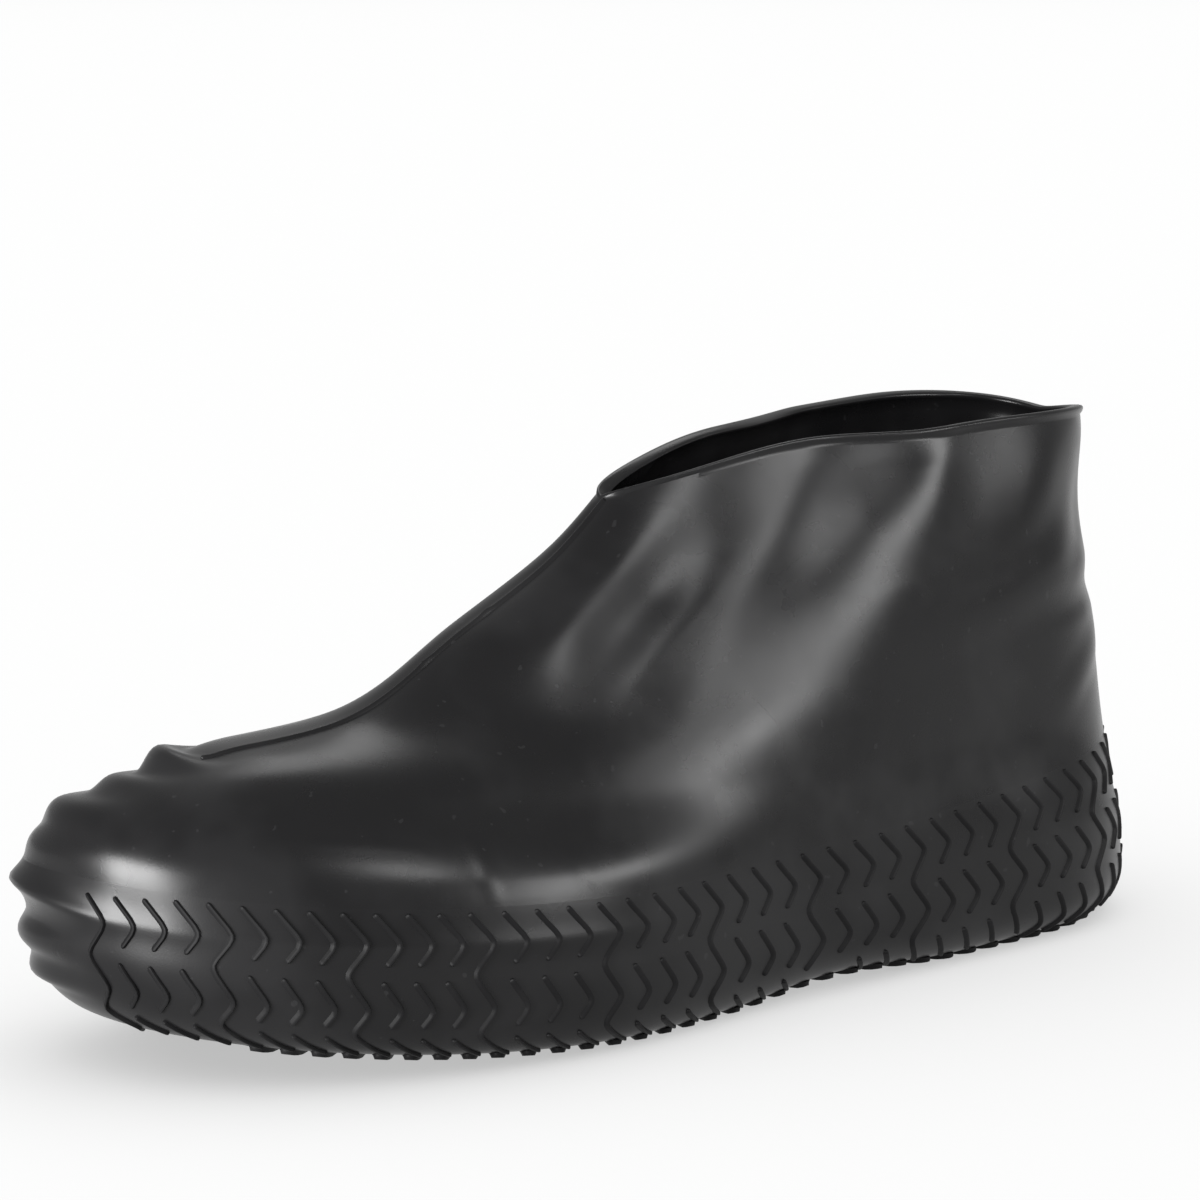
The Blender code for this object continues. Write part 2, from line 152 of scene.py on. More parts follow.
# Sole edge: a narrow crest along the forefoot that grows to a point at the toe
EDGE_DEPTH = 8.5
EDGE_HEIGHT = 0.9
EDGE_SPREAD = 4.0
EDGE_ROUND = 1.3
EDGE_TIP = 4.8
EDGE_TIP_REACH = 44.0
EDGE_TIP_UP = 4.0
EDGE_TIP_UP_REACH = 38.0
EDGE_FROM = 0.24
EDGE_FULL = 0.34

# Soft dents of the wall: share of the way round and up, reach each way in those shares, and depth
Dent = namedtuple("Dent", "round up reach_round reach_up deep")
DENTS = (
    Dent(0.080, 0.72, 0.070, 0.24, 3.2),
    Dent(0.920, 0.72, 0.070, 0.24, 3.2),
    Dent(0.000, 0.50, 0.050, 0.10, 2.0),
    Dent(0.535, 0.18, 0.085, 0.140, 2.8),
)

# Folds of the stretched wall, the same on both sides: places along each by share of the way round and depth,
# height, where a trough's is negative, half width and sharpness of the crest
Fold = namedtuple("Fold", "line height half sharp")
FOLDS = (
    Fold(((0.322, -109), (0.292, -104), (0.260, -100), (0.225, -96), (0.185, -91)), 1.4, 18.0, 1.0),
    Fold(((0.082, -94), (0.085, -86), (0.087, -74), (0.093, -63), (0.110, -55), (0.146, -51), (0.190, -53),
          (0.235, -58)), 0.9, 12.0, 1.2),
    Fold(((0.385, -136), (0.390, -118), (0.398, -98), (0.402, -78)), -1.5, 12.0, 1.0),
    Fold(((0.000, -43), (0.040, -42), (0.081, -41), (0.104, -42), (0.135, -43)), -1.0, 8.0, 1.0),
    Fold(((0.040, -36), (0.065, -26), (0.085, -21), (0.108, -13)), 0.7, 9.0, 1.3),
    Fold(((0.380, -22), (0.369, -10), (0.360, 3)), 0.14, 3.6, 1.2),
    Fold(((0.343, -17), (0.335, -8), (0.328, 0)), 0.12, 3.2, 1.2),
    Fold(((0.446, -15), (0.420, -15), (0.398, -15), (0.380, -12)), 0.06, 2.6, 1.2),
)
FOLD_ENDS = 0.42
FOLD_STEP = 6.0
FOLD_RIM = 12.0

# Chevron rows down the band: depth on the sides and at the toe, and zigzag towards heel or toe
Zig = namedtuple("Zig", "side toe way")
ZIGS = (
    Zig(1.5, 3.5, -1),
    Zig(8.0, 8.8, 1),
    Zig(15.0, 16.5, -1),
    Zig(23.0, 24.0, 1),
    Zig(29.5, 31.0, -1),
    Zig(39.0, 37.5, 1),
    Zig(45.5, 43.0, -1),
)

# Pitches round the shoe: their number, the shares at which marked ones lie, those left bare beside the toe,
# those over which the rows come to their side depths, and every how many a zigzag is whole
PITCHES = 88
TOE_PITCH = PITCHES // 2
PITCH_MARKS = (0, 11, 23, 31, 43, 44)
PITCH_SHARES = (0.0, 0.131, 0.277, 0.368, 0.490, 0.5)
BARE_TOE_PITCHES = 1
BARE_INNER_PITCHES = 7
TOE_ROW_PITCHES = 4
WHOLE_ZIGZAG_EVERY = 4

# Zigzags: swing at toe and heel, and the shares of a hook's arms at which it ends and starts
ZIGZAG_TOE = 2.6
ZIGZAG_HEEL = 3.4
LOWER_ARM = 0.62
UPPER_ARM_FROM = 0.22

# Cross sections as shares of half width and height, from foot to foot: a rib is steep towards the heel
RIB_SECTION = ((-1.6, -0.2), (-1.05, 0.14), (-0.5, 0.70), (0.05, 1.0), (0.55, 0.98), (0.80, 0.5),
               (0.92, -0.4))
BAR_SECTION = ((-1.25, -0.2), (-0.92, 0.22), (-0.7, 1.0), (0.0, 1.0), (0.7, 1.0), (0.92, 0.22), (1.25, -0.2))
SEAM_SECTION = ((-1.4, -0.2), (-0.9, 0.2), (-0.45, 0.8), (0.0, 1.0), (0.45, 0.8), (0.9, 0.2), (1.4, -0.2))
END_TURNS = (80, 45)

# Paths of the ribs: cuts that ease a corner, their reach in length and as a share of an arm, and steps along
CORNER_CUTS = 2
CORNER_REACH = 1.1
CORNER_SHARE = 0.25
MIN_STEP = 0.15
RIB_STEP = 2.5

# Bars underneath: reach of the vee, pitches left bare at heel and toe, depths below the ground line at each
# end, and places between the end and the middle
BAR_VEE = 6.0
BAR_END_PITCHES = 4
BAR_END_DEPTHS = (-0.5, 1.5, 3.5, UNDER_INSET)
BAR_PARTS = (0.25, 0.5, 0.75)

# Front seam: its ends, steps, slight wander as waves of a length, share and shift, and small lumps
SEAM_CLEAR_OF_RIM = 3.0
SEAM_FOOT = 44.0
SEAM_STEP = 1.6
SEAM_WANDER = 0.25
SEAM_WAVES = ((9.0, 1.0, 0.0), (4.1, 0.6, 1.0))
SEAM_LUMP = 0.35
SEAM_LUMP_HALF = 3.0
SEAM_LUMPS = (105.0, 125.0)

# Finish of the meshes
SEW_DISTANCE = 0.00002
SHARP_ANGLE = math.radians(55.0)

# Noises of the rubber: their middle, detail and roughness of each, the ranges in which smudges and specks set
# in, roughness that a smudge adds, and the grain's share of the bumps
NOISE_MIDDLE = 0.5
MOTTLE_NOISE = (4.0, 0.6)
SMUDGE_NOISE = (3.0, 0.55)
SPECK_NOISE = (1.0, 0.5)
GRAIN_NOISE = (2.0, 0.5)
SMUDGE_RANGE = (0.46, 0.66)
SPECK_RANGE = (0.735, 0.765)
SMUDGE_ROUGHER = 0.04
GRAIN_SHARE = 0.35

# Studio: the floor, and softboxes with their place, aim and size, whose powers are in the sidebar
FLOOR_HALF = 60.0
FLOOR_ROUGHNESS = 0.9
Softbox = namedtuple("Softbox", "name place aim size")
SHOE_MIDDLE = (0.0, 0.0, 0.06)
SOFTBOXES = (
    Softbox("key", (-0.70, 1.00, 0.52), SHOE_MIDDLE, (0.62, 0.24)),
    Softbox("low", (-0.47, 1.13, 0.28), SHOE_MIDDLE, (0.30, 0.26)),
    Softbox("window", (-0.10, 0.97, 0.91), SHOE_MIDDLE, (0.26, 0.34)),
    Softbox("toe", (1.15, 0.12, 0.20), (0.12, 0.0, 0.04), (0.60, 0.40)),
    Softbox("rim", (-0.62, -0.74, 1.15), SHOE_MIDDLE, (0.60, 0.40)),
)
WASH = Softbox("wash", (0.0, 0.0, 60.0), (0.0, 0.0, 0.0), (220.0, 220.0))


def smooth(value):
    """Ease from 0 to 1 as the value goes from 0 to 1."""
    value = np.clip(value, 0.0, 1.0)
    return value * value * (3.0 - 2.0 * value)


def mix(first, second, share):
    return first + (second - first) * share


def hump(distance, half_width):
    """Soft hump of height 1 that fades out at the half width."""
    share = np.minimum(np.abs(distance) / half_width, 1.0)
    return 0.5 + 0.5 * np.cos(math.pi * share)


def unit(vectors):
    return vectors / np.linalg.norm(vectors, axis=-1, keepdims=True)


class Last:
    """Skin of the last as a grid of points by column round the shoe and by even step up the profile."""

    def __init__(self, length, ball, waist, heel, collar, lift, spring, arch):
        self.length, self.ball, self.waist, self.heel = length, ball, waist, heel
        self.collar, self.lift, self.spring, self.arch = collar, lift, spring, arch
        turns = np.linspace(0.0, 2.0 * math.pi, TURN_STEPS + 1)
        travelled = self.lengths(self.ring_points(WIDEST, turns)[None])[0]
        self.perimeter = travelled[-1]
        turn = np.interp(np.arange(COLUMNS) / COLUMNS, travelled / self.perimeter, turns)
        rings = np.stack([self.ring_points(ring, turn) for ring in RINGS], axis=1)
        points = np.einsum("sr,crx->csx", self.loft_weights(), rings)
        points[..., 2] = np.maximum(points[..., 2], self.sole_line(points[..., 0]) + BASE_LIFT)
        ground_row = self.lengths(points)[:, GROUND * STEPS_PER_SPAN] / self.lengths(points)[:, -1]
        points = self.relaxed(self.evenly_spread(points))
        arc = self.lengths(points)
        self.points = points
        across = np.roll(points, -1, axis=0) - np.roll(points, 1, axis=0)
        self.normals = unit(np.cross(np.gradient(points, axis=1), across))
        self.step = arc[:, -1] / (PROFILE_STEPS - 1)
        above = points[..., 2] - self.band_top(points[..., 0])
        rows = np.arange(PROFILE_STEPS)
        self.band_row = np.array([np.interp(0.0, column, rows) for column in above])
        self.ground_row = ground_row * (PROFILE_STEPS - 1)

    @staticmethod
    def lengths(lines):
        """Length along each line of points up to each of them."""
        steps = np.linalg.norm(np.diff(lines, axis=1), axis=2)
        return np.concatenate((np.zeros((len(lines), 1)), np.cumsum(steps, axis=1)), axis=1)

    @staticmethod
    def loft_weights():
        """Weights that draw a smooth profile through the rings, a row of them for each step."""
        last = len(RINGS) - 1
        rows = []
        for step in range(last * STEPS_PER_SPAN + 1):
            span = min(step // STEPS_PER_SPAN, last - 1)
            t = step / STEPS_PER_SPAN - span
            basis = (
                (-t + 2 * t ** 2 - t ** 3) / 2,
                (2 - 5 * t ** 2 + 3 * t ** 3) / 2,
                (t + 4 * t ** 2 - 3 * t ** 3) / 2,
                (-t ** 2 + t ** 3) / 2,
            )
            row = np.zeros(len(RINGS))
            for place, weight in zip(range(span - 1, span + 3), basis):
                row[min(max(place, 0), last)] += weight
            rows.append(row)
        return np.array(rows)

    def evenly_spread(self, points):
        """The same profiles with their points at even steps."""
        spread = np.empty((len(points), PROFILE_STEPS, 3))
        for column, (line, arc) in enumerate(zip(points, self.lengths(points))):
            places = np.linspace(0.0, arc[-1], PROFILE_STEPS)
            spread[column] = np.stack([np.interp(places, arc, line[:, axis]) for axis in range(3)], axis=1)
        return spread

    @staticmethod
    def relaxed(points):
        """The skin with the slight kinks between its rings and arcs eased out."""
        for _ in range(RELAX_ROUND):
            points = (2 * points + np.roll(points, 1, axis=0) + np.roll(points, -1, axis=0)) / 4
        for _ in range(RELAX_UP):
            padded = np.pad(points, ((0, 0), (1, 1), (0, 0)), mode="edge")
            points = (2 * points + padded[:, :-2] + padded[:, 2:]) / 4
        return points

    def sole_line(self, x):
        """Height of the underside off the floor: flat at heel and ball, slightly arched, then the spring."""
        along = x / self.length
        spring = np.maximum(along - SPRING_FROM, 0.0) / (1.0 - SPRING_FROM)
        arch = hump(along - (ARCH_FROM + ARCH_TO) / 2, (ARCH_TO - ARCH_FROM) / 2)
        return self.spring * spring ** SPRING_POWER + self.arch * arch

    def band_top(self, x):
        """Height of the tread band's top line."""
        low = BAND_LOW_AT * self.length
        heel_part = np.maximum(1.0 - x / low, 0.0)
        toe_part = np.maximum((x - low) / (self.length - low), 0.0)
        return BAND_LOW + BAND_HEEL_CLIMB * heel_part ** 2 + BAND_TOE_CLIMB * toe_part ** 2

    def centre_line(self, x):
        """Sideways place of the shoe's middle, which swings in to the heel and further to the big toe."""
        from_middle = 2.0 * x / self.length - 1.0
        return CENTRE_OUT - np.where(from_middle > 0.0, TOE_SWING, HEEL_SWING) * from_middle ** 2

    def half_width(self, ring, along, toe_square):
        """Half the ring's width, with its heel and toe ends rounded off."""
        heel, waist, ball = ring.heel * self.heel / 2, ring.waist * self.waist / 2, ring.ball * self.ball / 2
        behind = mix(heel, waist, smooth((along - HEEL_AT) / (WAIST_AT - HEEL_AT)))
        ahead = mix(waist, ball, smooth((along - WAIST_AT) / (BALL_AT - WAIST_AT)))
        heel_part = np.clip(1.0 - along / ring.heel_end, 0.0, 1.0)
        toe_part = np.clip(1.0 - (1.0 - along) / ring.toe_end, 0.0, 1.0)
        heel_cap = (1.0 - heel_part ** HEEL_ROUND) ** (1.0 / HEEL_ROUND)
        toe_cap = (1.0 - toe_part ** toe_square) ** (1.0 / toe_square)
        return np.where(along < WAIST_AT, behind, ahead) * heel_cap * toe_cap

    def ring_points(self, ring, turn):
        """Points of a ring at turns from 0 at the heel over pi at the toe."""
        along = (1.0 - np.cos(turn)) / 2
        x = mix(ring.back, ring.front, along) * self.length
        outer = self.half_width(ring, along, ring.toe_square)
        inner = self.half_width(ring, along, ring.toe_square - INNER_TOE_ROUNDER)
        y = self.centre_line(x) + np.where(turn <= math.pi, outer, -inner)
        up = mix(ring.back_up, ring.front_up, along) * self.collar
        z = up + self.sole_line(x) + ring.lift * self.lift * np.abs(np.sin(turn))
        return np.stack((x, y, z), axis=-1)

    def blend(self, table, share):
        """Value of a table of columns at a share of the way round."""
        column = np.asarray(share) % 1.0 * COLUMNS
        low = column.astype(int)
        return mix(table[low % COLUMNS], table[(low + 1) % COLUMNS], column - low)

    def sample(self, table, share, row):
        """Values of a table of columns and rows, between its entries."""
        column = np.asarray(share) % 1.0 * COLUMNS
        low = column.astype(int)
        row = np.clip(row, 0.0, TOP_ROW)
        under = row.astype(int)
        side = (column - low)[..., None]
        up = (row - under)[..., None]
        left = mix(table[low % COLUMNS, under], table[low % COLUMNS, under + 1], up)
        right = mix(table[(low + 1) % COLUMNS, under], table[(low + 1) % COLUMNS, under + 1], up)
        return mix(left, right, side)

    def rows_at(self, share, depth):
        return self.blend(self.band_row, share) - depth / self.blend(self.step, share)

    def normal(self, share, depth):
        share, depth = np.broadcast_arrays(share, depth)
        return unit(self.sample(self.normals, share, self.rows_at(share, depth)))

    def skin(self, share, depth, out=0.0):
        """Points of the skin, moved outwards along its normals."""
        share, depth, out = np.broadcast_arrays(share, depth, out)
        places = self.sample(self.points, share, self.rows_at(share, depth))
        return places + out[..., None] * self.normal(share, depth)

    def rise(self, share):
        """Length of the skin from the band's top to the rim."""
        return (PROFILE_STEPS - 1 - self.blend(self.band_row, share)) * self.blend(self.step, share)

    def ground_depth(self, share):
        """Depth at which the skin comes to the ground."""
        rows = self.blend(self.band_row, share) - self.blend(self.ground_row, share)
        return rows * self.blend(self.step, share)

    def form(self, share, depth):
        """How far ridges, the sole edge and soft dents move the skin outwards."""
        share, depth = np.broadcast_arrays(np.asarray(share, float), np.asarray(depth, float))
        from_toe = (share % 1.0 - TOE_SHARE) * self.perimeter - RIDGE_INWARD
        out = np.zeros(share.shape)
        for ridge in TOE_RIDGES:
            across = hump(depth - ridge.depth, ridge.half) ** ridge.sharp
            out += ridge.height * across * hump(from_toe, ridge.reach)
        away = np.abs(share % 1.0 - TOE_SHARE)
        edge = EDGE_HEIGHT * smooth((TOE_SHARE - away - EDGE_FROM) / (EDGE_FULL - EDGE_FROM))
        tip = hump(from_toe, EDGE_TIP_REACH)
        edge_depth = EDGE_DEPTH - EDGE_TIP_UP * hump(from_toe, EDGE_TIP_UP_REACH)
        from_crest = np.hypot(depth - edge_depth, EDGE_ROUND) - EDGE_ROUND
        out += (edge + EDGE_TIP * tip) * np.exp(-from_crest / EDGE_SPREAD)
        outer = np.minimum(share % 1.0, 1.0 - share % 1.0)
        places = self.skin(outer, depth)
        below_rim = smooth((self.rise(share) + depth) / FOLD_RIM)
        for fold in FOLDS:
            out += self.fold_height(fold, places) * below_rim
        up = -depth / self.rise(share)
        for dent in DENTS:
            off = np.abs((share - dent.round + 0.5) % 1.0 - 0.5)
            out -= dent.deep * hump(off, dent.reach_round) * hump(up - dent.up, dent.reach_up)
        return out

    def fold_height(self, fold, places):
        """Height of a fold at places on the skin: full along its line, easing out at its sides and ends."""
        line = rounded(np.array(fold.line) * (self.perimeter, 1.0), FOLD_STEP)
        line = self.skin(line[:, 0] / self.perimeter, line[:, 1])
        travelled = self.lengths(line[None])[0]
        nearest = np.full(places.shape[:-1], np.inf)
        along = np.zeros(places.shape[:-1])
        for first, second, start, stop in zip(line[:-1], line[1:], travelled[:-1], travelled[1:]):
            step = second - first
            part = np.clip((places - first) @ step / (step @ step), 0.0, 1.0)
            off = np.linalg.norm(places - (first + part[..., None] * step), axis=-1)
            along = np.where(off < nearest, mix(start, stop, part), along)
            nearest = np.minimum(off, nearest)
        ends = FOLD_ENDS * travelled[-1]
        fade = smooth(along / ends) * smooth((travelled[-1] - along) / ends)
        return fold.height * hump(nearest, fold.half) ** fold.sharp * fade

    def surface(self, share, depth, out=0.0):
        """Points of the moulded outside."""
        return self.skin(share, depth, self.form(share, depth) + out)


@lru_cache(maxsize=2)
def last_of_sizes(*sizes):
    return Last(*sizes)


def last_of(context):
    """The last in the sizes that the sidebar holds."""
    sizes = context.scene.overshoe_sizes
    names = ("length", "ball_width", "waist_width", "heel_width", "collar_height", "collar_lift",
             "toe_spring", "arch_rise")
    return last_of_sizes(*(round(getattr(sizes, name) / MM, 4) for name in names))


def skin_shares():
    """Shares of the skins' columns, closer together over the toe; the end one repeats the first."""
    even = np.linspace(0.0, 1.0, SKIN_COLUMNS + 1)
    return even + TOE_DENSER * np.sin(2.0 * math.pi * even) / (2.0 * math.pi)


def up_shares(share, row_share):
    """Share of the way up to the rim of a row, lower over the toe, where rows crowd onto the ridges."""
    away = np.abs(share % 1.0 - TOE_SHARE)
    over_toe = 1.0 - smooth((away - TOE_ROWS_FULL) / (TOE_ROWS_GONE - TOE_ROWS_FULL))
    toe_up = TOE_ROW_SLOPE * row_share + (1.0 - TOE_ROW_SLOPE) * row_share ** 2
    return mix(row_share, toe_up, over_toe)


def bent_grid(name, rows):
    """Closed skin: a grid bent onto rows of points and sewn up where its edges meet."""
    rows = np.asarray(rows)
    across, along = rows.shape[1] - 1, rows.shape[0] - 1
    bm = bmesh.new()
    bmesh.ops.create_grid(bm, x_segments=across, y_segments=along, size=1.0)
    for vert in bm.verts:
        column = round((vert.co.x + 1.0) / 2 * across)
        row = round((vert.co.y + 1.0) / 2 * along)
        vert.co = (rows[row, column] - ORIGIN) * MM
    border = [vert for vert in bm.verts if vert.is_boundary]
    bmesh.ops.remove_doubles(bm, verts=border, dist=SEW_DISTANCE)
    bmesh.ops.recalc_face_normals(bm, faces=bm.faces)
    return mesh_object(name, bm)


def mesh_object(name, bm):
    """Smooth object made of a bmesh, put in the scene."""
    mesh = bpy.data.meshes.new(name)
    bm.to_mesh(mesh)
    bm.free()
    mesh.shade_smooth()
    mesh.set_sharp_from_angle(angle=SHARP_ANGLE)
    made = bpy.data.objects.new(name, mesh)
    bpy.context.scene.collection.objects.link(made)
    return made


def dress(piece, material, slot, *nodes):
    """Give a piece its rubber, let it ride on the shoe and stand for its nodes."""
    piece.data.materials.append(material)
    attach(piece, "root")
    if nodes:
        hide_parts(*nodes)


def upper_rows(last, wall, bead):
    """Rows of the upper's skin: up the outside, over the collar bead, down the inside and round the lap."""
    shares = skin_shares()
    rise = last.rise(shares)
    rows = []
    below_bead = rise - 2.0 * bead
    row_shares = np.linspace(0.0, 1.0, UPPER_ROWS + 1)[:, None]
    rows += list(last.surface(shares, -up_shares(shares, row_shares) * below_bead))
    for turn in BEAD_TURNS:
        angle = math.radians(turn)
        depth = -(rise - bead) - bead * math.cos(angle)
        rows.append(last.surface(shares, depth, bead * math.sin(angle) - wall / 2))
    for row_share in np.linspace(1.0, 0.0, INSIDE_ROWS):
        depth = -JOGGLE_TOP - up_shares(shares, row_share) * (below_bead - JOGGLE_TOP)
        dents = np.minimum(last.form(shares, depth), 0.0)
        rows.append(last.skin(shares, depth, dents - wall))
    return shares, rows


def lap_rows(last, shares, wall, cup_wall):
    """Rows of the upper's foot, stepped in to lie inside the cup, back to the band's top line."""
    lap_out = -(cup_wall + GAP)
    return [
        last.skin(shares, -JOGGLE_FOOT, lap_out - wall),
        last.skin(shares, LAP, lap_out - wall),
        last.skin(shares, LAP, lap_out),
        last.skin(shares, -GAP, lap_out),
        last.skin(shares, -GAP, -GAP),
        last.surface(shares, 0.0),
    ]


def to_spine(edge, share):
    """Points between a ring under the shoe and the middle line of its two sides."""
    return mix((edge + edge[::-1]) / 2, edge, share)


def cup_rows(last, wall):
    """Rows of the cup's skin: from the underside's middle up the outside, over the lip, inside and floor."""
    shares = skin_shares()
    under = last.ground_depth(shares) + UNDER_INSET
    edge = last.surface(shares, under)
    rows = [to_spine(edge, share) for share in np.linspace(0.0, 1.0, FLOOR_ROWS, endpoint=False)]
    rows += list(last.surface(shares, under * np.linspace(1.0, 0.0, CUP_ROWS)[:, None]))
    inside = [last.skin(shares, under * share, -wall) for share in np.linspace(0.0, 1.0, CUP_INSIDE_ROWS)]
    floor = [to_spine(inside[-1], share) for share in np.linspace(1.0, 0.0, FLOOR_ROWS + 1)[1:]]
    return rows + inside + floor


class Sweeps:
    """Raised ribs gathered into one mesh: a section swept along each path, with rounded ends."""

    def __init__(self, section):
        self.section = np.array(section)
        self.vertices = []
        self.faces = []

    def add(self, points, normals, half_width, height, way=1):
        """Sweep the section along points with the skin's normals there; a way of -1 turns it round."""
        points, normals = np.asarray(points), np.asarray(normals)
        half_width = np.broadcast_to(half_width, len(points))
        height = np.broadcast_to(height, len(points))
        tangents = unit(np.gradient(points, axis=0))
        sections = []
        for turn in END_TURNS:
            sections.append((0, -math.sin(math.radians(turn)), math.cos(math.radians(turn))))
        sections += [(index, 0.0, 1.0) for index in range(len(points))]
        for turn in reversed(END_TURNS):
            sections.append((len(points) - 1, math.sin(math.radians(turn)), math.cos(math.radians(turn))))
        first = len(self.vertices)
        for index, ahead, scale in sections:
            centre = points[index] + tangents[index] * ahead * half_width[index]
            side = unit(np.cross(normals[index], tangents[index]))
            for across, up in self.section:
                lift = up * height[index] * (scale ** 0.5 if up > 0 else 1.0)
                place = centre + side * way * across * half_width[index] * scale + normals[index] * lift
                self.vertices.append((place - ORIGIN) * MM)
        wide = len(self.section)
        for section in range(len(sections) - 1):
            for step in range(wide - 1):
                corner = first + section * wide + step
                self.faces.append((corner, corner + 1, corner + wide + 1, corner + wide))
        self.faces.append(tuple(first + step for step in reversed(range(wide))))
        self.faces.append(tuple(first + (len(sections) - 1) * wide + step for step in range(wide)))
        for section in range(len(sections) - 1):
            corner = first + section * wide
            self.faces.append((corner + wide, corner + 2 * wide - 1, corner + wide - 1, corner))

    def make(self, name):
        mesh = bpy.data.meshes.new(name)
        mesh.from_pydata(self.vertices, [], self.faces)
        bm = bmesh.new()
        bm.from_mesh(mesh)
        bpy.data.meshes.remove(mesh)
        bmesh.ops.recalc_face_normals(bm, faces=bm.faces)
        return mesh_object(name, bm)


def heelward(pitch):
    """Way round that leads to the heel: down the shares on the outer side, up them on the inner side."""
    return -1 if pitch < TOE_PITCH else 1


def pitch_share(pitch):
    """Share of the way round at which a pitch lies."""
    if pitch > TOE_PITCH:
        return 1.0 - pitch_share(PITCHES - pitch)
    return float(np.interp(pitch, PITCH_MARKS, PITCH_SHARES))


def rounded(corners, step):
    """Path through the corners, each corner eased by cutting it twice, with points about a step apart."""
    line = np.asarray(corners, float)
    for _ in range(CORNER_CUTS):
        cut = [line[0]]
        for first, second in zip(line[:-1], line[1:]):
            reach = min(CORNER_REACH / max(np.linalg.norm(second - first), CORNER_REACH), CORNER_SHARE)
            cut += [mix(first, second, reach), mix(first, second, 1.0 - reach)]
        line = np.array(cut + [line[-1]])
    travelled = np.concatenate(([0.0], np.cumsum(np.linalg.norm(np.diff(line, axis=0), axis=1))))
    places = np.unique(np.concatenate((travelled, np.arange(0.0, travelled[-1], step))))
    places = places[np.concatenate(([True], np.diff(places) > MIN_STEP))]
    return np.stack([np.interp(places, travelled, line[:, axis]) for axis in range(line.shape[1])], axis=1)


def pitches_beyond_bare(pitch):
    """Pitches from the bare toe, which reaches further on the inner side, under the toe ridges."""
    if pitch > TOE_PITCH:
        return pitch - TOE_PITCH - BARE_INNER_PITCHES
    return TOE_PITCH - pitch - BARE_TOE_PITCHES


def chevron_corners(last, pitch):
    """Corners of a pitch's zigzag as distance round and depth, from the band's top to the ground."""
    beyond_bare = pitches_beyond_bare(pitch)
    ground = float(last.ground_depth(pitch_share(pitch)))
    corners = []
    for zig in ZIGS:
        depth = mix(zig.toe, zig.side, float(smooth(beyond_bare / TOE_ROW_PITCHES)))
        if depth < ground:
            swing = mix(ZIGZAG_HEEL, ZIGZAG_TOE, 1.0 - abs(pitch - TOE_PITCH) / TOE_PITCH)
            across = pitch_share(pitch) * last.perimeter + zig.way * swing * heelward(pitch)
            corners.append((across, depth))
    return np.array(corners)


def strokes(corners, is_whole):
    """Strokes of one zigzag: the whole of it, or a hook at each heelward corner with a shorter lower arm."""
    if is_whole:
        return [corners]
    found = []
    for point in range(1, len(corners), 2):
        start = mix(corners[point - 1], corners[point], UPPER_ARM_FROM if point > 1 else 0.0)
        stroke = [start, corners[point]]
        if point + 1 < len(corners):
            stroke.append(mix(corners[point], corners[point + 1], LOWER_ARM))
        found.append(np.array(stroke))
    return found


def chevron_ribs(last, half_width, height):
    """Ribs of the side band."""
    ribs = Sweeps(RIB_SECTION)
    for pitch in range(PITCHES):
        beyond_bare = pitches_beyond_bare(pitch)
        if beyond_bare < 0:
            continue
        for stroke in strokes(chevron_corners(last, pitch), beyond_bare % WHOLE_ZIGZAG_EVERY == 0):
            path = rounded(stroke, RIB_STEP)
            share, depth = path[:, 0] / last.perimeter, path[:, 1]
            points, normals = last.surface(share, depth), last.normal(share, depth)
            ribs.add(points, normals, half_width, height, -heelward(pitch))
    return ribs.make("chevron_ribs")


def tread_bars(last, half_width, height):
    """Bars of the underside: up each side of the sole's edge and across in a vee."""
    bars = Sweeps(BAR_SECTION)
    for pitch in range(BAR_END_PITCHES + 1, TOE_PITCH - BAR_END_PITCHES):
        lines = []
        for share in (pitch_share(pitch), 1.0 - pitch_share(pitch)):
            ground = last.ground_depth(share)
            depths = ground + np.array(BAR_END_DEPTHS)
            lines.append((last.surface(share, depths), last.normal(share, depths)))
        middle = (lines[0][0][-1] + lines[1][0][-1]) / 2 + (BAR_VEE, 0.0, 0.0)
        between = [mix(lines[0][0][-1], middle, part) for part in BAR_PARTS]
        beyond = [mix(middle, lines[1][0][-1], part) for part in BAR_PARTS]
        flat = np.array(between + [middle] + beyond)
        flat[:, 2] = last.sole_line(flat[:, 0]) + BASE_LIFT
        points = np.concatenate((lines[0][0], flat, lines[1][0][::-1]))
        down = np.broadcast_to((0.0, 0.0, -1.0), flat.shape)
        normals = np.concatenate((lines[0][1], down, lines[1][1][::-1]))
        bars.add(points, normals, half_width, height)
    return bars.make("tread_bars")


def front_seam(last, half_width, height):
    """Moulded seam ridge down the front, from the collar bead to the first toe ridge."""
    top = last.rise(TOE_SHARE) - SEAM_CLEAR_OF_RIM
    depths = -np.arange(SEAM_FOOT, top, SEAM_STEP)
    wander = SEAM_WANDER * sum(share * np.sin(depths / length + shift) for length, share, shift in SEAM_WAVES)
    shares = TOE_SHARE + wander / last.perimeter
    seam = Sweeps(SEAM_SECTION)
    swell = height * (1.0 + sum(SEAM_LUMP * hump(depths + lump, SEAM_LUMP_HALF) for lump in SEAM_LUMPS))
    seam.add(last.surface(shares, depths), last.normal(shares, depths), half_width, swell)
    return seam.make("front_seam")


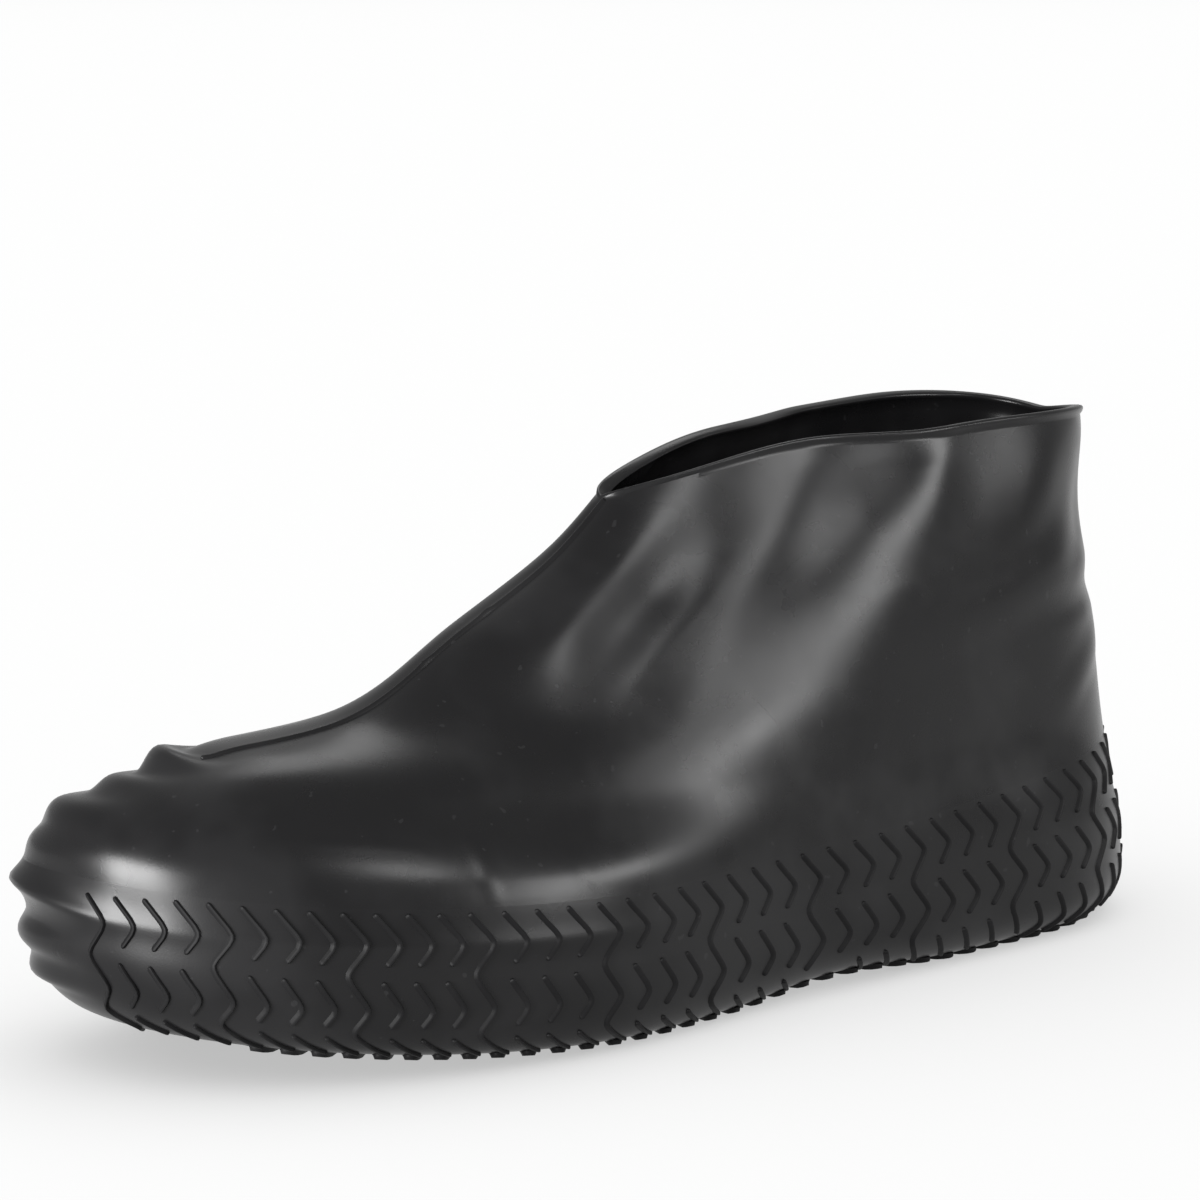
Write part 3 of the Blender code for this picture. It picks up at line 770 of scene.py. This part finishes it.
class Wire:
    """A socket of a shader, with Python's operators as Math nodes."""

    def __init__(self, shader, socket):
        self.shader = shader
        self.socket = socket

    def maths(self, operation, first, second):
        return self.shader.node("ShaderNodeMath", {"operation": operation}, {0: first, 1: second})

    def __add__(self, other):
        return self.maths("ADD", self, other)

    def __radd__(self, other):
        return self.maths("ADD", other, self)

    def __sub__(self, other):
        return self.maths("SUBTRACT", self, other)

    def __rsub__(self, other):
        return self.maths("SUBTRACT", other, self)

    def __mul__(self, other):
        return self.maths("MULTIPLY", self, other)

    def __rmul__(self, other):
        return self.maths("MULTIPLY", other, self)


class Shader:
    """One material's nodes."""

    def __init__(self, name):
        self.material = bpy.data.materials.new(name)
        self.material.use_nodes = True
        self.tree = self.material.node_tree
        self.surface = self.tree.nodes["Principled BSDF"]

    def plug(self, socket, value):
        if isinstance(value, Wire):
            self.tree.links.new(value.socket, socket)
        else:
            socket.default_value = value

    def node(self, kind, settings=None, inputs=None, output=0):
        """Add a node with its settings, then its values and links; gives one of its outputs."""
        made = self.tree.nodes.new(kind)
        for name, value in (settings or {}).items():
            setattr(made, name, value)
        for name, value in (inputs or {}).items():
            self.plug(made.inputs[name], value)
        return Wire(self, made.outputs[output])

    def noise(self, scale, detail, roughness):
        place = self.node("ShaderNodeTexCoord", output="Object")
        return self.node("ShaderNodeTexNoise", {}, {"Vector": place, "Scale": scale, "Detail": detail,
                                                    "Roughness": roughness})

    def ramp(self, value, low, high):
        """0 below low, 1 above high, eased between them."""
        return self.node("ShaderNodeMapRange", {"interpolation_type": "SMOOTHSTEP"},
                         {"Value": value, "From Min": low, "From Max": high})

    def colours(self, factor, first, second):
        """Mix of two colours, which the node takes at inputs 6 and 7 and gives at output 2."""
        return self.node("ShaderNodeMix", {"data_type": "RGBA"}, {"Factor": factor, 6: first, 7: second},
                         output=2)

    def set(self, name, value):
        self.plug(self.surface.inputs[name], value)


def rubber(name, look, roughness, specular):
    """Dipped black rubber: satin, faintly mottled, with fine grain, smudges and a little dust."""
    shader = Shader(name)
    mottle = shader.noise(look.mottle_scale, *MOTTLE_NOISE)
    smudge = shader.ramp(shader.noise(look.smudge_scale, *SMUDGE_NOISE), *SMUDGE_RANGE)
    speck = shader.ramp(shader.noise(look.speck_scale, *SPECK_NOISE), *SPECK_RANGE)
    grain = shader.noise(look.grain_scale, *GRAIN_NOISE)
    black, pale = (*look.colour, 1.0), (*look.dust_colour, 1.0)
    dust = smudge * look.smudge_strength + speck * look.speck_strength
    shader.set("Base Color", shader.colours(dust, black, pale))
    shader.set("Roughness", roughness + (mottle - NOISE_MIDDLE) * look.roughness_spread
               + smudge * SMUDGE_ROUGHER)
    shader.set("Specular IOR Level", specular)
    height = grain * GRAIN_SHARE + mottle * (1.0 - GRAIN_SHARE)
    bump = shader.node("ShaderNodeBump", {}, {"Strength": look.bump_strength, "Distance": look.bump_depth,
                                              "Height": height}, output="Normal")
    shader.set("Normal", bump)
    return shader.material


@lru_cache(maxsize=None)
def upper_rubber():
    look = bpy.context.scene.overshoe_rubber
    return rubber("upper rubber", look, look.upper_roughness, look.specular)


@lru_cache(maxsize=None)
def tread_rubber():
    look = bpy.context.scene.overshoe_rubber
    return rubber("tread rubber", look, look.tread_roughness, look.specular)


@lru_cache(maxsize=None)
def rib_rubber():
    look = bpy.context.scene.overshoe_rubber
    return rubber("rib rubber", look, look.rib_roughness, look.rib_specular)


def length_property(name, description, default):
    return FloatProperty(name=name, description=description, default=default, unit="LENGTH", precision=4)


def share_property(name, description, default):
    return FloatProperty(name=name, description=description, default=default, min=0.0, max=1.0,
                         subtype="FACTOR")


def colour_property(name, description, default):
    return FloatVectorProperty(name=name, description=description, default=default, min=0.0, max=1.0,
                               subtype="COLOR")


def power_property(name, description, default):
    return FloatProperty(name=name, description=description, default=default, unit="POWER")


def scale_property(name, description, default):
    return FloatProperty(name=name, description=description, default=default, min=0.0)


class OvershoeSizes(bpy.types.PropertyGroup):
    """Sizes of the last and of what is moulded on it."""

    length: length_property("Length", "Length of the last at its widest ring", 0.318)
    ball_width: length_property("Ball width", "Width across the ball of the foot", 0.109)
    waist_width: length_property("Waist width", "Width across the waist", 0.090)
    heel_width: length_property("Heel width", "Width across the heel", 0.091)
    collar_height: length_property("Collar height", "Height of the rim at the back", 0.133)
    collar_lift: length_property("Collar lift", "How far the rim rises at the sides", 0.0075)
    toe_spring: length_property("Toe spring", "Height of the toe's tip off the floor", 0.012)
    arch_rise: length_property("Arch rise", "Height of the arch off the floor", 0.002)
    upper_wall: length_property("Upper wall", "Thickness of the stretch upper", 0.0015)
    cup_wall: length_property("Cup wall", "Thickness of the cup outsole", 0.002)
    bead: length_property("Bead radius", "Radius of the rolled collar bead", 0.0017)
    rib_half: length_property("Rib half width", "Half the width of a chevron rib", 0.00066)
    rib_height: length_property("Rib height", "Height of a chevron rib", 0.00072)
    bar_half: length_property("Bar half width", "Half the width of a tread bar", 0.0021)
    bar_height: length_property("Bar height", "Height of a tread bar", 0.0012)
    seam_half: length_property("Seam half width", "Half the width of the front seam", 0.0008)
    seam_height: length_property("Seam height", "Height of the front seam", 0.0008)


class OvershoeRubber(bpy.types.PropertyGroup):
    """Finish of the rubber."""

    colour: colour_property("Rubber", "Colour of the rubber", (0.0050, 0.0049, 0.0052))
    dust_colour: colour_property("Dust", "Colour of dust and bloom", (0.16, 0.16, 0.165))
    rib_roughness: share_property("Rib roughness", "Roughness of the chevron ribs", 0.52)
    upper_roughness: share_property("Upper roughness", "Roughness of the stretch upper", 0.27)
    tread_roughness: share_property("Tread roughness", "Roughness of the tread band", 0.29)
    roughness_spread: share_property("Roughness spread", "How far the roughness varies", 0.12)
    specular: share_property("Specular", "Strength of the mirror reflection", 0.2)
    rib_specular: share_property("Rib specular", "Strength of the ribs' mirror reflection", 0.09)
    mottle_scale: scale_property("Mottle scale", "Patches to the metre", 70.0)
    smudge_scale: scale_property("Smudge scale", "Smudges to the metre", 26.0)
    speck_scale: scale_property("Speck scale", "Dust specks to the metre", 420.0)
    grain_scale: scale_property("Grain scale", "Grains to the metre", 2600.0)
    smudge_strength: share_property("Smudge strength", "Colour of the smudges", 0.02)
    speck_strength: share_property("Speck strength", "Colour of the specks", 0.035)
    bump_strength: share_property("Bump strength", "Strength of the grain", 0.18)
    bump_depth: length_property("Bump depth", "Height of the grain", 0.0002)


class OvershoeStudio(bpy.types.PropertyGroup):
    """Floor, light and camera."""

    floor_colour: colour_property("Floor", "Colour of the floor", (0.30, 0.30, 0.30))
    sky: scale_property("Sky", "Strength of the even light all round", 0.50)
    key: power_property("Key", "Power of the softbox on the heel's side", 7.2)
    low: power_property("Low", "Power of the low softbox beside the key", 3.5)
    window: power_property("Window", "Power of the softbox above the camera", 4.2)
    toe: power_property("Toe", "Power of the softbox before the toe", 34.0)
    rim: power_property("Rim", "Power of the softbox behind", 2.5)
    wash: power_property("Wash", "Power of the light on the floor alone", 530000.0)
    lens: scale_property("Lens", "Focal length of the camera in millimetres", 116.3)
    eye: FloatVectorProperty(name="Eye", description="Place of the camera", default=(0.600, 0.727, 0.2492),
                             subtype="TRANSLATION", unit="LENGTH")
    yaw: FloatProperty(name="Yaw", description="Turn of the view from the shoe's side towards its toe",
                       default=math.radians(39.09), subtype="ANGLE")
    tilt: FloatProperty(name="Tilt", description="Tilt of the view down to the floor",
                        default=math.radians(9.28), subtype="ANGLE")


class OVERSHOE_OT_upper(bpy.types.Operator):
    """Make the stretch upper with its collar bead, toe ridges and folds"""

    bl_idname = "overshoe.upper"
    bl_label = "Stretch Upper"

    def execute(self, context):
        last, sizes = last_of(context), context.scene.overshoe_sizes
        wall, cup_wall = sizes.upper_wall / MM, sizes.cup_wall / MM
        shares, rows = upper_rows(last, wall, sizes.bead / MM)
        rows += lap_rows(last, shares, wall, cup_wall)
        dress(bent_grid("stretch_upper", rows), upper_rubber(), "upper_rubber", "upper")
        return {"FINISHED"}


class OVERSHOE_OT_outsole(bpy.types.Operator):
    """Make the cup outsole that the upper is lapped into"""

    bl_idname = "overshoe.outsole"
    bl_label = "Cup Outsole"

    def execute(self, context):
        rows = cup_rows(last_of(context), context.scene.overshoe_sizes.cup_wall / MM)
        dress(bent_grid("cup_outsole", rows), tread_rubber(), "outsole_rubber", "outsole")
        return {"FINISHED"}


class OVERSHOE_OT_tread(bpy.types.Operator):
    """Make the chevron ribs of the side band and the bars underneath"""

    bl_idname = "overshoe.tread"
    bl_label = "Chevron Tread"

    def execute(self, context):
        last, sizes = last_of(context), context.scene.overshoe_sizes
        ribs = chevron_ribs(last, sizes.rib_half / MM, sizes.rib_height / MM)
        dress(ribs, rib_rubber(), "outsole_rubber")
        bars = tread_bars(last, sizes.bar_half / MM, sizes.bar_height / MM)
        dress(bars, rib_rubber(), "outsole_rubber")
        return {"FINISHED"}


class OVERSHOE_OT_seam(bpy.types.Operator):
    """Make the moulded seam ridge down the front"""

    bl_idname = "overshoe.seam"
    bl_label = "Front Seam"

    def execute(self, context):
        sizes = context.scene.overshoe_sizes
        seam = front_seam(last_of(context), sizes.seam_half / MM, sizes.seam_height / MM)
        dress(seam, upper_rubber(), "upper_rubber")
        return {"FINISHED"}


def floor_object(colour):
    """Plain grey floor, which the wash lights up to white."""
    bm = bmesh.new()
    bmesh.ops.create_grid(bm, x_segments=1, y_segments=1, size=FLOOR_HALF)
    floor = mesh_object("floor", bm)
    shader = Shader("studio floor")
    shader.set("Base Color", (*colour, 1.0))
    shader.set("Roughness", FLOOR_ROUGHNESS)
    shader.set("Specular IOR Level", 0.0)
    floor.data.materials.append(shader.material)
    return floor


def area_light(box, power):
    """Rectangular softbox at its place, turned to its aim."""
    lamp = bpy.data.lights.new(box.name, "AREA")
    lamp.shape = "RECTANGLE"
    lamp.size, lamp.size_y = box.size
    lamp.energy = power
    light = bpy.data.objects.new(box.name, lamp)
    light.location = box.place
    light.rotation_euler = (Vector(box.aim) - Vector(box.place)).to_track_quat("-Z", "Y").to_euler()
    bpy.context.scene.collection.objects.link(light)
    return light


def light_only(name, lights, pieces):
    """Let some lights shine on some pieces alone; gives the collection of those pieces."""
    lit = bpy.data.collections.new(name)
    for piece in pieces:
        lit.objects.link(piece)
    for light in lights:
        light.light_linking.receiver_collection = lit
    return lit


class OVERSHOE_OT_studio(bpy.types.Operator):
    """Make the floor, the soft light and the camera"""

    bl_idname = "overshoe.studio"
    bl_label = "Studio"

    def execute(self, context):
        scene, studio = context.scene, context.scene.overshoe_studio
        floor = floor_object(studio.floor_colour)
        world = bpy.data.worlds.new("studio")
        world.use_nodes = True
        world.node_tree.nodes["Background"].inputs["Color"].default_value = (1.0, 1.0, 1.0, 1.0)
        world.node_tree.nodes["Background"].inputs["Strength"].default_value = studio.sky
        scene.world = world
        softboxes = [area_light(box, getattr(studio, box.name)) for box in SOFTBOXES]
        shoe = [piece for piece in scene.objects if piece.type == "MESH" and piece != floor]
        light_only("shoe light", softboxes, shoe)
        wash = area_light(WASH, studio.wash)
        # Only the floor itself can shade the wash, so the shoe's shadow stays faint
        wash.light_linking.blocker_collection = light_only("floor light", (wash,), (floor,))
        camera = bpy.data.objects.new("camera", bpy.data.cameras.new("camera"))
        camera.data.lens = studio.lens
        camera.location = studio.eye
        level = math.cos(studio.tilt)
        ahead = (-math.sin(studio.yaw) * level, -math.cos(studio.yaw) * level, -math.sin(studio.tilt))
        camera.rotation_euler = Vector(ahead).to_track_quat("-Z", "Y").to_euler()
        scene.collection.objects.link(camera)
        scene.camera = camera
        scene.view_settings.view_transform = "Standard"
        return {"FINISHED"}


class OVERSHOE_PT_sidebar(bpy.types.Panel):
    """Lists the overshoe's pieces and their settings"""

    bl_idname = "OVERSHOE_PT_sidebar"
    bl_label = "Overshoe"
    bl_space_type = "VIEW_3D"
    bl_region_type = "UI"
    bl_category = "Overshoe"

    def draw(self, context):
        for operator in OPERATORS:
            self.layout.operator(operator.bl_idname)
        for group in GROUPS:
            settings = getattr(context.scene, group)
            for name in settings.bl_rna.properties.keys():
                if name not in ("rna_type", "name"):
                    self.layout.prop(settings, name)


OPERATORS = (
    OVERSHOE_OT_upper,
    OVERSHOE_OT_outsole,
    OVERSHOE_OT_tread,
    OVERSHOE_OT_seam,
    OVERSHOE_OT_studio,
)
GROUPS = {
    "overshoe_sizes": OvershoeSizes,
    "overshoe_rubber": OvershoeRubber,
    "overshoe_studio": OvershoeStudio,
}
CLASSES = (*GROUPS.values(), *OPERATORS, OVERSHOE_PT_sidebar)


def register():
    for one in CLASSES:
        bpy.utils.register_class(one)
    for name, group in GROUPS.items():
        setattr(bpy.types.Scene, name, PointerProperty(type=group))


def unregister():
    for name in GROUPS:
        delattr(bpy.types.Scene, name)
    for one in reversed(CLASSES):
        bpy.utils.unregister_class(one)


def main():
    register()
    bpy.ops.overshoe.upper()
    bpy.ops.overshoe.outsole()
    bpy.ops.overshoe.tread()
    bpy.ops.overshoe.seam()
    bpy.ops.overshoe.studio()


if __name__ == "__main__":
    main()
